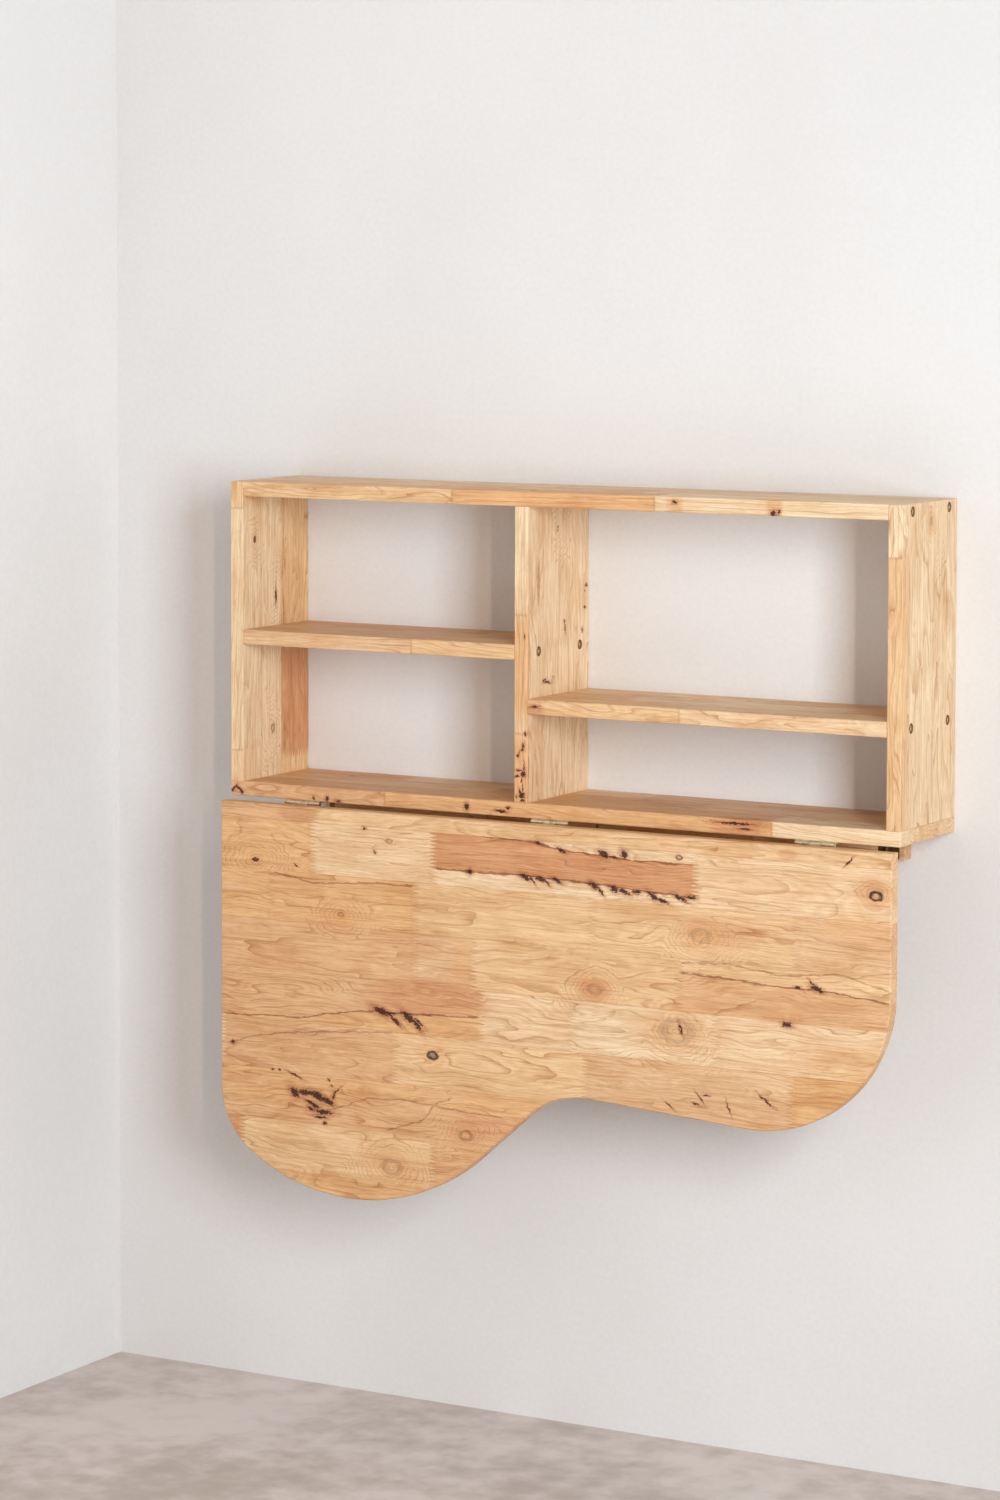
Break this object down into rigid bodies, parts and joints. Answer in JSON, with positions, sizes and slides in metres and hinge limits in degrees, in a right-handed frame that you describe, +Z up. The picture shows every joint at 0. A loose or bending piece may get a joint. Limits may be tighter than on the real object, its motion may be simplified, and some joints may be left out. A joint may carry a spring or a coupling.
{
  "type": "fold down wall desk",
  "caption": "Shallow wooden wall shelf unit with open bays and a wavy-edged desk leaf that hangs under it on hinges and folds up over swing-out arms.",
  "frame": {"origin": "middle of the wall batten's back face, on the line of its two wall screw holes", "axes": "+X to the right along the wall, +Y into the wall, +Z up; the wall is the plane y = 0"},
  "size_m": [0.9, 0.1725, 0.863],
  "materials": {
    "rubberwood": "satin lacquer",
    "brass": "satin",
    "zinc_steel": "zinc plated",
    "rubber": "matt"
  },
  "bodies": {
    "cabinet": {"wall_batten": "rubberwood", "bottom_board": "rubberwood", "left_side_panel": "rubberwood", "right_side_panel": "rubberwood", "divider_panel": "rubberwood", "top_board": "rubberwood", "left_shelf": "rubberwood", "right_shelf": "rubberwood", "left_wall_bracket": "zinc_steel", "right_wall_bracket": "zinc_steel", "left_hinge_board_flap": "brass", "middle_hinge_board_flap": "brass", "right_hinge_board_flap": "brass", "left_hinge_pin": "brass", "middle_hinge_pin": "brass", "right_hinge_pin": "brass", "left_arm_hinge_batten_flap": "brass", "right_arm_hinge_batten_flap": "brass", "left_arm_hinge_pin": "brass", "right_arm_hinge_pin": "brass"},
    "leaf": {"desk_leaf": "rubberwood", "left_hinge_leaf_flap": "brass", "middle_hinge_leaf_flap": "brass", "right_hinge_leaf_flap": "brass"},
    "left_swing_arm": {"left_arm": "rubberwood", "left_arm_foot": "rubber", "left_arm_hinge_arm_flap": "brass"},
    "right_swing_arm": {"right_arm": "rubberwood", "right_arm_foot": "rubber", "right_arm_hinge_arm_flap": "brass"}
  },
  "joints": [
    {"name": "desk_leaf_hinge", "type": "hinge", "parent": "cabinet", "child": "leaf", "pos_m": [0, -0.1515, 0.0145], "axis": [-1, 0, 0], "range_deg": [0, 90]},
    {"name": "left_arm_hinge", "type": "hinge", "parent": "cabinet", "child": "left_swing_arm", "pos_m": [-0.373, -0.0207, 0], "axis": [0, 0, -1], "range_deg": [0, 17.5]},
    {"name": "right_arm_hinge", "type": "hinge", "parent": "cabinet", "child": "right_swing_arm", "pos_m": [0.373, -0.0207, 0], "axis": [0, 0, 1], "range_deg": [0, 17.5]}
  ]
}
